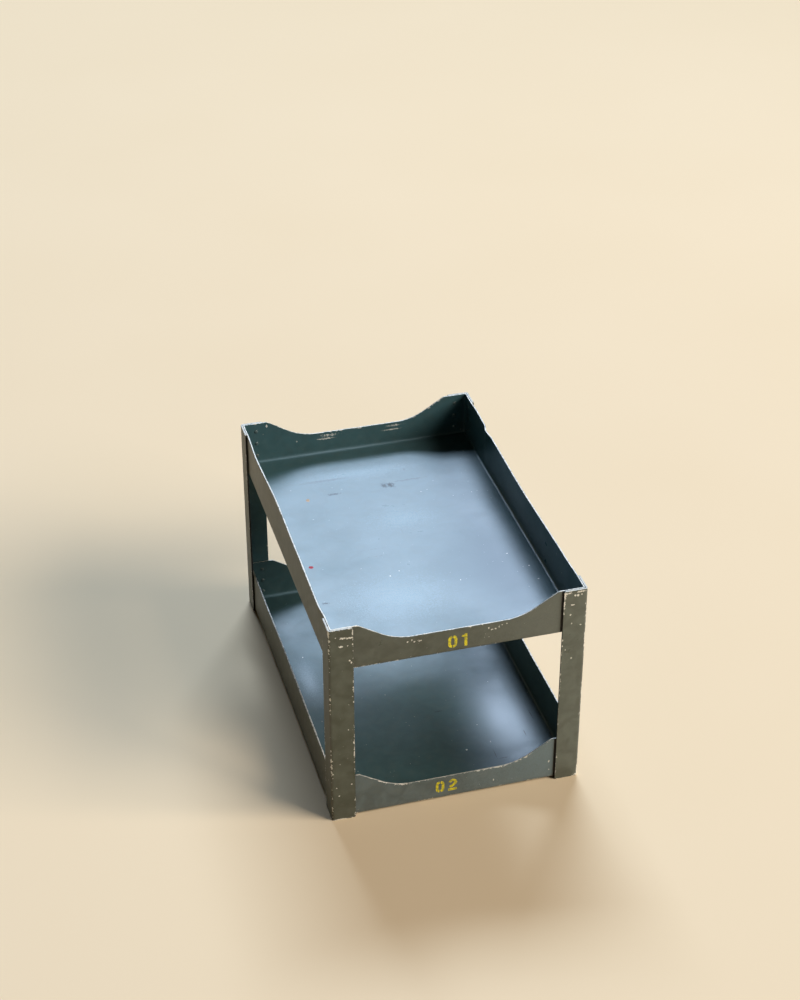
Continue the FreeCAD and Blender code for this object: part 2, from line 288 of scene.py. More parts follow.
@dataclass(frozen=True)
class Enamel:
    """Old enamel sprayed on bent steel: half-gloss olive, with a painted cool reflection making it
    bluer where it faces inwards.

    The eye gets a soft sheen, a faint cloudiness and orange peel, and pale steel at worn edges.
    A field that ends in "from" holds the values of a pattern where it starts and is full.
    """

    name: str
    outside: str = "#54584C"
    # Bluer where it faces inwards: a painted cool reflection on the olive enamel
    inside: str = "#426064"
    # Browner on the outer sides: a painted warm reflection of the floor
    side: str = "#504F3E"
    cloudy: str = "#B4B0A4"
    faded: str = "#6C6F64"
    steel: str = "#DCDAD0"
    # Rims rubbed bare long ago have gone greyer than fresh chips
    rim: str = "#C2BEB2"
    # Near-black for the flanges' upright cuts: dark dirt there, and painted shade
    dirt_and_shade: str = "#15120E"
    ior: float = 1.5
    # The roughness where the smudges are glossiest and dullest
    gloss_roughness: float = 0.265
    dull_roughness: float = 0.295
    smudge: Pattern = Pattern(9.0, 4)
    smudge_from: Range = (0.3, 0.7)
    # How much wiping adds to the roughness, in streaks along X, and dust, in clouds
    wiped_roughness: float = 0.034
    wipe: Pattern = Pattern(18.0, 4, 0.6)
    wipe_run: Place = (0.3, 1.0, 1.0)
    wipe_from: Range = (0.35, 0.65)
    dusty_roughness: float = 0.085
    cloud: Pattern = Pattern(110.0, 3)
    cloud_from: Range = (0.4, 0.62)
    # The outer sides are handled and never wiped
    side_roughness: float = 0.5
    # Old bare steel is dull, so that it is only part metal to the eye
    steel_roughness: float = 0.5
    steel_metal: float = 0.15
    # How strongly the paint is mottled outside and inside, and how much of that fades it
    mottled: Range = (0.45, 0.22)
    mottle: Pattern = Pattern(16.0, 5, 0.8)
    mottle_from: Range = (0.36, 0.62)
    fading: float = 0.6
    faded_from: Range = (0.45, 0.80)
    # Chips, their ragged outlines, and how patchy the worn edges are
    chip: Pattern = Pattern(3.0, 5, 0.5)
    chip_from: Range = (0.80, 0.83)
    ragged: Pattern = Pattern(1.3, 3)
    patch: Pattern = Pattern(34.0)
    patch_from: Range = (0.38, 0.62)
    patch_wear: Range = (0.4, 1)
    edge_wear: float = 0.36
    rim_wear: float = 0.55
    rim_from: Range = (0.72, 0.78)
    # Real orange peel is nearer 1 mm, which is too fine to show
    peel: Pattern = Pattern(1.6)
    # The film's thickness, how much of that the peel takes, and how strongly both show
    film: float = 0.06
    peel_depth: float = 0.09
    relief_strength: float = 0.8
    chips: Sequence[Mark] = ()
    stains_and_painted_light: Sequence[StainAndPaintedLight] = ()

    def material(self) -> bpy.types.Material:
        """Makes the finish as nodes around one Principled shader.

        Returns:
            The material.
        """
        made, shader, place = start_material(self.name, {"IOR": self.ior})
        tree = made.node_tree
        traits = {
            trait: add_node(tree, "Attribute", output="Fac", attribute_name=trait.value)
            for trait in Trait
        }
        smudge = add_node(tree, "TexNoise", self.smudge.inputs(place))
        ragged = add_node(tree, "TexNoise", self.ragged.inputs(place))
        ragged = add_node(tree, "Math", (ragged, 0.5), operation="SUBTRACT")
        shared = Shared(tree, place, smudge, ragged, traits)
        bare = self.bare_steel(shared)
        colour = self.paint_colour(shared)
        dullness = self.dullness(shared)
        dullness = add_node(
            tree, "MapRange", (traits[Trait.SIDE], 0, 1, dullness, self.side_roughness)
        )
        for stain_and_light in self.stains_and_painted_light:
            spot = self.spots(shared, stain_and_light.marks, stain_and_light.core)
            colour = lay_coats(tree, colour, (stain_and_light.colour, spot))
            dullness = add_node(tree, "MapRange", (spot, 0, 1, dullness, stain_and_light.roughness))
        steel = lay_coats(tree, self.steel, (self.rim, traits[Trait.BARE_RIM]))
        finish = {
            "Base Color": lay_coats(tree, colour, (steel, bare)),
            "Metallic": add_node(tree, "Math", (bare, self.steel_metal), operation="MULTIPLY"),
            "Roughness": add_node(tree, "MapRange", (bare, 0, 1, dullness, self.steel_roughness)),
            "Normal": self.relief(shared, bare),
        }
        feed(shader, finish)
        return made

    def bare_steel(self, shared: Shared) -> Socket:
        """Where the paint has gone: worn rims, chipped edges and the larger chips.

        Args:
            shared: what the nodes share.

        Returns:
            1 on bare steel and 0 on paint.
        """
        tree, traits = shared.tree, shared.traits
        chip = add_node(tree, "TexNoise", self.chip.inputs(shared.place))
        patch = add_node(tree, "TexNoise", self.patch.inputs(shared.place))
        patch = add_node(tree, "MapRange", (patch, *self.patch_from, *self.patch_wear))
        edges = (traits[Trait.CUT_EDGE], traits[Trait.BENT_EDGE])
        wear = add_node(tree, "Math", edges, operation="MAXIMUM")
        for share in (patch, self.edge_wear):
            wear = add_node(tree, "Math", (wear, share), operation="MULTIPLY")
        chipped = add_node(tree, "Math", (chip, wear))
        chipped = add_node(tree, "MapRange", (chipped, *self.chip_from))
        rubbed = (traits[Trait.BARE_RIM], self.rim_wear)
        rim = add_node(tree, "Math", rubbed, operation="MULTIPLY")
        rim = add_node(tree, "MapRange", (add_node(tree, "Math", (chip, rim)), *self.rim_from))
        bare = add_node(tree, "Math", (chipped, rim), operation="MAXIMUM")
        if self.chips:
            larger = self.spots(shared, self.chips)
            bare = add_node(tree, "Math", (bare, larger), operation="MAXIMUM")
        # The upright cuts, dark with dirt and painted shade, show no bare steel
        clean = add_node(tree, "Math", (1.0, traits[Trait.DIRT_AND_SHADE_CUT]), operation="SUBTRACT")
        return add_node(tree, "Math", (bare, clean), operation="MULTIPLY")

    @staticmethod
    def spots(shared: Shared, marks: Sequence[Mark], core: float = 0.8) -> Socket:
        """Where any of some marks is.

        Args:
            shared: what the nodes share.
            marks: the marks.
            core: the share of a mark's reach that is full.

        Returns:
            1 in a mark and 0 outside.
        """
        tree = shared.tree
        nearest: Any = OUT_OF_REACH
        for mark in marks:
            centre = tuple(value * MM for value in mark.place)
            size = tuple(value * MM for value in mark.size)
            away = add_node(tree, "VectorMath", (shared.place, centre), operation="SUBTRACT")
            away = add_node(tree, "VectorMath", (away, size), operation="DIVIDE")
            away = add_node(tree, "VectorMath", (away,), "Value", operation="LENGTH")
            uneven = (shared.ragged, RAGGEDNESS * mark.rough, away)
            away = add_node(tree, "Math", uneven, operation="MULTIPLY_ADD")
            nearest = add_node(tree, "Math", (nearest, away), operation="MINIMUM")
        return add_node(tree, "MapRange", (nearest, 1.0, core))

    def dullness(self, shared: Shared) -> Socket:
        """How rough the paint is: smudged all over, wiped in streaks and dusty in clouds.

        Args:
            shared: what the nodes share.

        Returns:
            The roughness.
        """
        tree = shared.tree
        wipe = add_node(tree, "VectorMath", (shared.place, self.wipe_run), operation="MULTIPLY")
        wipe = add_node(tree, "TexNoise", self.wipe.inputs(wipe))
        cloud = add_node(tree, "TexNoise", self.cloud.inputs(shared.place))
        ends = (self.gloss_roughness, self.dull_roughness)
        plain = add_node(tree, "MapRange", (shared.smudge, *self.smudge_from, *ends))
        streaks = add_node(tree, "MapRange", (wipe, *self.wipe_from, 0, self.wiped_roughness))
        dust = add_node(tree, "MapRange", (cloud, *self.cloud_from, 0, self.dusty_roughness))
        return add_node(tree, "Math", (plain, add_node(tree, "Math", (streaks, dust))))

    def paint_colour(self, shared: Shared) -> Socket:
        """The paint's colour: mottled, faded in places, bluer inside and browner on the outer sides
        by painted reflections, and near-black on the flanges' upright cuts, for dirt and painted
        shade.

        Args:
            shared: what the nodes share.

        Returns:
            The colour.
        """
        tree = shared.tree
        side, inside, dirt_and_shade_share = (
            shared.traits[trait] for trait in (Trait.SIDE, Trait.INSIDE, Trait.DIRT_AND_SHADE_CUT)
        )
        paint = lay_coats(tree, self.outside, (self.side, side), (self.inside, inside))
        strength = add_node(tree, "MapRange", (inside, 0, 1, *self.mottled))
        mottle = add_node(tree, "TexNoise", self.mottle.inputs(shared.place))
        mottle = add_node(tree, "MapRange", (mottle, *self.mottle_from, 0, strength))
        clouds = {0: mottle, 6: paint, 7: linear(self.cloudy)}
        paint = add_node(tree, "Mix", clouds, 2, data_type="RGBA", blend_type="MULTIPLY")
        weaker = add_node(tree, "Math", (strength, self.fading), operation="MULTIPLY")
        faded = add_node(tree, "MapRange", (shared.smudge, *self.faded_from, 0, weaker))
        return lay_coats(tree, paint, (self.faded, faded), (self.dirt_and_shade, dirt_and_shade_share))

    def relief(self, shared: Shared, bare: Socket) -> Socket:
        """The film's small heights: orange peel, and a step down to bare steel.

        Args:
            shared: what the nodes share.
            bare: where the steel is bare.

        Returns:
            The surface's normal.
        """
        tree = shared.tree
        peel = add_node(tree, "TexNoise", self.peel.inputs(shared.place))
        peel = add_node(tree, "Math", (peel, self.peel_depth), operation="MULTIPLY")
        height = add_node(tree, "Math", (peel, bare), operation="SUBTRACT")
        bump = {"Height": height, "Distance": self.film * MM, "Strength": self.relief_strength}
        return add_node(tree, "Bump", bump)


@dataclass(frozen=True)
class StencilPaint:
    """Yellow oil paint dabbed through a stencil: thin, matt, and rubbed through in small spots."""

    name: str = "stencil_paint_dabbed"
    colour: str = "#DACC20"
    worn: str = "#A09A34"
    under: str = "#62614F"
    ior: float = 1.48
    dab: Pattern = Pattern(2.2, 4)
    worn_from: Range = (0.45, 0.62)
    dull_from: Range = (0.3, 0.7)
    roughness: Range = (0.45, 0.65)
    rubbed: Pattern = Pattern(1.1, 3, 0.6)
    rubbed_from: Range = (0.60, 0.66)
    film: float = 0.03
    relief_strength: float = 0.6

    def material(self) -> bpy.types.Material:
        """Makes the finish as nodes around one Principled shader.

        Returns:
            The material.
        """
        made, shader, place = start_material(self.name, {"IOR": self.ior})
        tree = made.node_tree
        dab = add_node(tree, "TexNoise", self.dab.inputs(place))
        worn = add_node(tree, "MapRange", (dab, *self.worn_from))
        rubbed = add_node(tree, "TexNoise", self.rubbed.inputs(place))
        rubbed = add_node(tree, "MapRange", (rubbed, *self.rubbed_from))
        bump = {"Height": dab, "Distance": self.film * MM, "Strength": self.relief_strength}
        finish = {
            "Base Color": lay_coats(tree, self.colour, (self.worn, worn), (self.under, rubbed)),
            "Roughness": add_node(tree, "MapRange", (dab, *self.dull_from, *self.roughness)),
            "Normal": add_node(tree, "Bump", bump),
        }
        feed(shader, finish)
        return made


@dataclass(frozen=True)
class StudioFloor:
    """Matt cream board, which gives the eye a plain pale ground and a soft shadow.

    Far from the tray, between two distances in metres, it fades into the background.
    """

    name: str = "painted_board_matt"
    colour: str = "#E8D3B2"
    shade: str = "#E4CEAB"
    cloud: Pattern = Pattern(400.0)
    roughness: float = 0.8
    fade: Range = (1.2, 3.2)

    def material(self, background: tuple[str, float]) -> bpy.types.Material:
        """Makes the floor's finish.

        Args:
            background: the background's colour and strength.

        Returns:
            The material.
        """
        plain = {"Roughness": self.roughness, "Specular IOR Level": 0}
        made, shader, place = start_material(self.name, plain)
        tree = made.node_tree
        cloud = add_node(tree, "TexNoise", self.cloud.inputs(place))
        feed(shader, {"Base Color": lay_coats(tree, self.colour, (self.shade, cloud))})
        far = add_node(tree, "VectorMath", (place,), "Value", operation="LENGTH")
        far = add_node(tree, "MapRange", (far, *self.fade))
        far = add_node(tree, "Math", (far, directly_seen(tree)), operation="MULTIPLY")
        glow = add_node(tree, "Emission", (linear(background[0]), background[1]))
        mixed = add_node(tree, "MixShader", (far, shader.outputs[0], glow))
        feed(tree.nodes["Material Output"], {"Surface": mixed})
        return made


def put_in_scene(name: str, data: bpy.types.ID) -> bpy.types.Object:
    """Makes an object.

    Args:
        name: its name.
        data: its mesh, lamp or camera.

    Returns:
        The object.
    """
    made = bpy.data.objects.new(name, data)
    bpy.context.scene.collection.objects.link(made)
    return made


def direction(azimuth: float, rise: float) -> Vector:
    """Turns angles to a direction.

    Args:
        azimuth: degrees from the rear, with 90 to the right.
        rise: degrees above the level.

    Returns:
        The direction, of length 1.
    """
    turn, lift = math.radians(azimuth), math.radians(rise)
    flat = math.cos(lift)
    return Vector((math.sin(turn) * flat, math.cos(turn) * flat, math.sin(lift)))


class Draft:
    """A mesh being drawn: points in millimetres, their traits, and four-sided faces."""

    def __init__(self) -> None:
        """Starts with nothing."""
        self.points: list[np.ndarray] = []
        self.traits: dict[Trait, list[np.ndarray]] = {trait: [] for trait in Trait}
        self.faces: list[np.ndarray] = []
        self.count = 0

    def add_points(self, points: np.ndarray, traits: dict[Trait, Any]) -> np.ndarray:
        """Adds points.

        Args:
            points: their places, one row for each.
            traits: a number or one value for each point. A trait left out is 0.

        Returns:
            The points' numbers.
        """
        self.points.append(points)
        for trait, values in self.traits.items():
            values.append(np.broadcast_to(np.asarray(traits.get(trait, 0.0), float), len(points)))
        numbers = np.arange(self.count, self.count + len(points))
        self.count += len(points)
        return numbers

    def add_grid(self, numbers: np.ndarray, closed: bool = False) -> None:
        """Spans faces over rows of points.

        Args:
            numbers: the points' numbers, row by row.
            closed: whether each row's last point is next to its first.
        """
        if closed:
            numbers = np.column_stack((numbers, numbers[:, 0]))
        corners = (numbers[:-1, :-1], numbers[:-1, 1:], numbers[1:, 1:], numbers[1:, :-1])
        self.faces.append(np.stack([corner.ravel() for corner in corners], axis=1))

    def build(self, name: str, material: bpy.types.Material, bend: Bend) -> bpy.types.Object:
        """Makes the object, in metres, smooth except at its sharp edges.

        Args:
            name: the piece's name.
            material: its finish.
            bend: moves the points, in millimetres, before they are used.

        Returns:
            The new object.
        """
        points = bend(np.concatenate(self.points)) * MM
        mesh = bpy.data.meshes.new(name)
        mesh.from_pydata(points.tolist(), [], np.concatenate(self.faces).tolist())
        for trait, values in self.traits.items():
            attribute = mesh.attributes.new(trait.value, "FLOAT", "POINT")
            attribute.data.foreach_set("value", np.concatenate(values).astype(np.float32))
        shape = bmesh.new()
        shape.from_mesh(mesh)
        bmesh.ops.recalc_face_normals(shape, faces=shape.faces)
        shape.to_mesh(mesh)
        shape.free()
        mesh.shade_smooth()
        mesh.set_sharp_from_angle(angle=math.radians(HARD_EDGE))
        mesh.materials.append(material)
        return put_in_scene(name, mesh)


def stations(keys: Iterable[float], spacing: float) -> np.ndarray:
    """Divides the stretches between key places evenly.

    Args:
        keys: places that each get a station, in rising order.
        spacing: the longest step between stations.

    Returns:
        All stations, keys among them.
    """
    keys = list(keys)
    found = [keys[0]]
    for start, end in zip(keys, keys[1:]):
        steps = max(1, math.ceil((end - start) / spacing))
        found.extend(start + (end - start) * step / steps for step in range(1, steps + 1))
    return np.array(found)


def ripples(along: np.ndarray, across: np.ndarray, length: float, seed: int) -> np.ndarray:
    """Soft waves that never repeat, such as a thin sheet has.

    Args:
        along: places along the sheet.
        across: places across it.
        length: how long a wave is.
        seed: which pattern of waves.

    Returns:
        A height of about -1 to 1 for each place.
    """
    random = np.random.default_rng(seed)
    height = np.zeros(np.shape(along))
    for _ in range(WAVES):
        heading, phase = random.uniform(0, 2 * math.pi, 2)
        stretch = random.uniform(*WAVE_STRETCH)
        run = along * math.cos(heading) + across * math.sin(heading)
        height = height + np.sin(2 * math.pi * run / (length * stretch) + phase)
    return height / math.sqrt(2 * WAVES)


def ease(place: np.ndarray, keys: Sequence[Range]) -> np.ndarray:
    """Runs softly through key values, level at each key.

    Args:
        place: where the values are wanted.
        keys: places in rising order, each with its value.

    Returns:
        The values.
    """
    places = np.array([key[0] for key in keys])
    values = np.array([key[1] for key in keys])
    stretch = np.clip(np.searchsorted(places, place) - 1, 0, len(keys) - 2)
    share = np.clip((place - places[stretch]) / (places[stretch + 1] - places[stretch]), 0, 1)
    share = share * share * (3 - 2 * share)
    return values[stretch] + (values[stretch + 1] - values[stretch]) * share


def hand_over(
    piece: bpy.types.Object, node: str | None = None
) -> bpy.types.Object:
    """Ties a piece to the model.

    Args:
        piece: the new piece.
        node: the CAD node that it stands for.

    Returns:
        The same piece.
    """
    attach(piece, BODY)
    if node is not None:
        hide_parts(node)
    logging.info("%s: %d faces", piece.name, len(piece.data.polygons))
    return piece


@dataclass(frozen=True)
class Step:
    """One line round a pan's sheet.

    It runs this far in from the outer face. Its height goes from up, counted from the underside,
    to drop, counted down from the rim, as share goes from 0 to 1.
    """

    inset: float
    up: float = 0.0
    drop: float = 0.0
    share: float = 0.0
    inside: float = 0.0
    bare: float = 0.0
    bent: float = 0.0


@dataclass
class FoldedPan:
    """A tray folded from one sheet, with scooped front and rear walls and a soft dented look."""

    node: str
    sheet: float = 1.3
    inner_bend: float = 2.0
    film: float = 0.05
    cut_round: float = 0.28
    corner_round: float = 0.8
    scoop_half: float = 99.0
    scoop_depth: float = 23.0
    scoop_slope: float = 32.0
    scoop_radius: float = 60.0
    shoulder_radius: float = 4.0
    spacing: float = 3.5
    # Near the corners a ring's stations close up by what its half lacks
    corner_zone: float = 12.0
    bend_parts: int = 5
    wall_parts: int = 6
    # How use has bent the sheet: how deep, and how long the ripples are
    floor_sag: float = 0.7
    ripple: float = 0.06
    ripple_length: float = 90.0
    wall_ripple: float = 0.10
    wall_ripple_length: float = 42.0
    # Each side leans out or in at some places along Y, and more towards its rim
    left_bow: Sequence[Range] = ((-170, 0), (170, 0))
    right_bow: Sequence[Range] = ((-170, 0), (170, 0))
    lean_power: float = 1.4
    # How far in from the side that starts, counted in corner zones
    lean_zones: float = 4.0
    # The ends and sides of the floor keep still over this much
    still_end: float = 30.0
    still_side: float = 20.0
    low: np.ndarray = field(init=False)
    high: np.ndarray = field(init=False)

    def __post_init__(self) -> None:
        """Takes the pan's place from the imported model, with a film of paint all round."""
        low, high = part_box(self.node)
        self.low = np.array(low) / MM - self.film
        self.high = np.array(high) / MM + self.film
        self.sheet += 2 * self.film
        self.inner_bend -= self.film
        self.across = self.mirrored(self.scoop_places(), self.high[0])
        bow_places = sorted({abs(key[0]) for key in (*self.left_bow, *self.right_bow)})
        self.along = self.mirrored(bow_places, self.high[1])

    @property
    def outer_bend(self) -> float:
        """The outer radius of the bends."""
        return self.inner_bend + self.sheet

    def scoop_places(self) -> list[float]:
        """How far from the middle the scoop's outline changes.

        Returns:
            Where its flat edge, arc and slope end, and the middle and end of its shoulder.
        """
        slope = math.radians(self.scoop_slope)
        reach = self.shoulder_radius * math.tan(slope / 2)
        fall = self.scoop_depth - self.scoop_radius * (1 - math.cos(slope))
        touch = self.scoop_half - fall / math.tan(slope)
        flat = touch - self.scoop_radius * math.sin(slope)
        shoulder = self.scoop_half - reach * math.cos(slope)
        top = self.scoop_half + reach
        return [flat, touch, shoulder, (shoulder + top) / 2, top]

    def mirrored(self, keys: Iterable[float], half: float) -> np.ndarray:
        """Divides a side of the pan.

        Args:
            keys: places in one half that each get a station.
            half: half the side.

        Returns:
            Stations on both sides of the middle, with one beside each corner.
        """
        zone = half - self.corner_zone
        inner = [key for key in keys if 0 < key < zone]
        right = stations([0.0, *inner, zone, half - self.corner_round, half], self.spacing)
        return np.concatenate((-right[:0:-1], right))

    def rim(self, across: np.ndarray) -> np.ndarray:
        """The scooped outline.

        Args:
            across: places along X.

        Returns:
            The rim's height there, counted from the walls' full height, as 0 or less.
        """
        away = np.abs(across)
        flat, touch, shoulder, _, top = self.scoop_places()
        slope = math.tan(math.radians(self.scoop_slope))
        turn = np.clip(away - flat, 0, self.scoop_radius)
        arc = -self.scoop_depth + self.scoop_radius - np.sqrt(self.scoop_radius**2 - turn**2)
        crown = np.sqrt(self.shoulder_radius**2 - np.clip(top - away, 0, self.shoulder_radius) ** 2)
        steps = [away >= top, away >= shoulder, away >= touch]
        shapes = [0.0 * away, crown - self.shoulder_radius, (away - self.scoop_half) * slope]
        return np.select(steps, shapes, arc)

    def squeezed(self, places: np.ndarray, half: float) -> np.ndarray:
        """Moves the outer face's stations to a shorter line.

        Args:
            places: the stations.
            half: half the line.

        Returns:
            The moved stations, which close up near the corners only.
        """
        outer = places[-1]
        limit = outer - self.corner_zone
        beyond = np.clip(np.abs(places) - limit, 0, None)
        kept = np.abs(places) - beyond
        return np.sign(places) * (kept + beyond * (half - limit) / (outer - limit))

    def bend_steps(self, radius: float, inside: float) -> list[Step]:
        """Draws the bend of one face of the sheet.

        Args:
            radius: the face's radius there.
            inside: 1 for the inner face and 0 for the outer.

        Returns:
            Its steps, from the floor up.
        """
        big = self.outer_bend
        found = []
        for turn in np.linspace(0, math.pi / 2, self.bend_parts + 1):
            bent = (1 - inside) * math.sin(2 * turn)
            sides = big - radius * math.sin(turn), big - radius * math.cos(turn)
            found.append(Step(*sides, inside=inside, bent=bent))
        return found

    def wall_steps(self, inset: float, inside: float) -> list[Step]:
        """Draws the wall of one face of the sheet.

        Args:
            inset: how far in from the outer face it is.
            inside: 1 for the inner face and 0 for the outer.

        Returns:
            Its steps, from the bend up.
        """
        shares = np.arange(1, self.wall_parts) / self.wall_parts
        found = [Step(inset, self.outer_bend, WEAR_REACH, share, inside) for share in shares]
        drops = (WEAR_REACH, WEAR_REACH / 3)
        return found + [Step(inset, drop=drop, share=1, inside=inside) for drop in drops]

    def profile(self) -> list[Step]:
        """Draws the sheet's section.

        Returns:
            Its steps, from the underside over the rim to the inner floor.
        """
        cut = self.cut_round
        turns = np.linspace(0, math.pi / 2, self.bend_parts + 1)
        rounding = turns[:: self.bend_parts // 2 + 1].tolist() + [math.pi / 2]
        # Only the cut's middle is bare, and paint is left at both its edges
        outer_cut = []
        for turn in rounding:
            drop = cut - cut * math.sin(turn)
            inset = cut - cut * math.cos(turn)
            outer_cut.append(Step(inset, drop=drop, share=1, bare=0.5 * math.sin(turn)))
        crest = [Step(self.sheet / 2, share=1, inside=1, bare=1)]
        inner_cut = [
            Step(self.sheet - step.inset, drop=step.drop, share=1, inside=1, bare=step.bare)
            for step in reversed(outer_cut)
        ]
        outer = self.bend_steps(self.outer_bend, 0) + self.wall_steps(0.0, 0)
        inner = self.bend_steps(self.inner_bend, 1) + self.wall_steps(self.sheet, 1)
        return outer + outer_cut + crest + inner_cut + inner[::-1]

    def ring(self, draft: Draft, step: Step) -> np.ndarray:
        """Draws one line round the pan.

        Args:
            draft: the mesh.
            step: which line.

        Returns:
            Its points' numbers, from the front left corner by way of the right.
        """
        half_x, half_y = self.high[0] - step.inset, self.high[1] - step.inset
        across, along = self.squeezed(self.across, half_x), self.squeezed(self.along, half_y)
        front = np.column_stack((across, np.full(len(across), -half_y)))
        right = np.column_stack((np.full(len(along), half_x), along))
        sides = (front, right[1:], -front[1:], -right[1:-1])
        flat = np.concatenate(sides)
        in_corner = (np.abs(flat) > (half_x - MM, half_y - MM)).all(axis=1)
        flat[in_corner] -= np.sign(flat[in_corner]) * self.corner_round * (1 - math.sqrt(0.5))
        rim = self.high[2] + self.rim(flat[:, 0])
        up = (1 - step.share) * (self.low[2] + step.up) + step.share * (rim - step.drop)
        near_cut = np.clip(1 - (rim - up) / WEAR_REACH, 0, 1)
        # The side walls' outer faces take the browner side colour, a painted warm reflection of the
        # floor
        on_side = (np.abs(flat[:, 0]) > half_x - MM) * (1 - step.inside)
        traits = {
            Trait.CUT_EDGE: near_cut,
            Trait.BARE_RIM: step.bare,
            Trait.BENT_EDGE: step.bent,
            Trait.INSIDE: step.inside,
            Trait.SIDE: on_side,
        }
        return draft.add_points(np.column_stack((flat, up)), traits)

    def floor(self, draft: Draft, ring: np.ndarray, height: float, inside: float) -> None:
        """Fills a ring with a grid of faces.

        Args:
            draft: the mesh.
            ring: the ring's numbers.
            height: how high it lies.
            inside: 1 for the inner floor and 0 for the underside.
        """
        half_x, half_y = self.high[0] - self.outer_bend, self.high[1] - self.outer_bend
        across, along = self.squeezed(self.across, half_x), self.squeezed(self.along, half_y)
        x, y = (grid[1:-1, 1:-1].ravel() for grid in np.meshgrid(across, along, indexing="ij"))
        wide, deep = len(across), len(along)
        points = np.column_stack((x, y, np.full(len(x), height)))
        middle = draft.add_points(points, {Trait.INSIDE: inside})
        numbers = np.zeros((wide, deep), int)
        numbers[1:-1, 1:-1] = middle.reshape(wide - 2, deep - 2)
        round_it = np.take(ring, np.arange(2 * (wide + deep)), mode="wrap")
        right, rear, left = wide - 1, wide + deep - 2, 2 * wide + deep - 3
        numbers[:, 0] = round_it[:wide]
        numbers[-1, :] = round_it[right : right + deep]
        numbers[::-1, -1] = round_it[rear : rear + wide]
        numbers[0, ::-1] = round_it[left : left + deep]
        draft.add_grid(numbers)

    def bend(self, points: np.ndarray) -> np.ndarray:
        """Moves points as use has bent the sheet: bowed sides, a sagging floor and soft ripples.

        Args:
            points: the points, in millimetres.

        Returns:
            The moved points.
        """
        x, y, z = points.T
        height = np.clip((z - self.low[2]) / (self.high[2] - self.low[2]), 0, 1)
        lean = height**self.lean_power
        reach = self.lean_zones * self.corner_zone
        side = np.clip((np.abs(x) - self.high[0] + reach) / self.corner_zone, 0, 1)
        bow = np.where(x < 0, ease(y, self.left_bow), ease(y, self.right_bow)) * lean * side
        near_end = np.clip((self.high[1] - np.abs(y)) / self.still_end, 0, 1)
        near_side = np.clip((self.high[0] - np.abs(x)) / self.still_side, 0, 1)
        flat = near_end * near_side * (1 - lean)
        sunk = -self.floor_sag * (1 - (x / self.high[0]) ** 2) * (1 - (y / self.high[1]) ** 2)
        uneven = self.ripple * ripples(x, y, self.ripple_length, DENT_SEED)
        wobble = self.wall_ripple * ripples(y, z, self.wall_ripple_length, DENT_SEED + 1)
        wobble = wobble * near_end * np.sqrt(height) * side
        return np.column_stack((x + bow + wobble, y, z + (sunk + uneven) * flat))

    def build(self, material: bpy.types.Material) -> bpy.types.Object:
        """Draws the pan and puts it in its CAD node's place.

        Args:
            material: its finish.

        Returns:
            The piece.
        """
        draft = Draft()
        rings = [self.ring(draft, step) for step in self.profile()]
        draft.add_grid(np.array(rings), closed=True)
        self.floor(draft, rings[0], self.low[2], 0)
        self.floor(draft, rings[-1], self.low[2] + self.sheet, 1)
        piece = draft.build(self.node + "_pan", material, self.bend)
        return hand_over(piece, self.node)


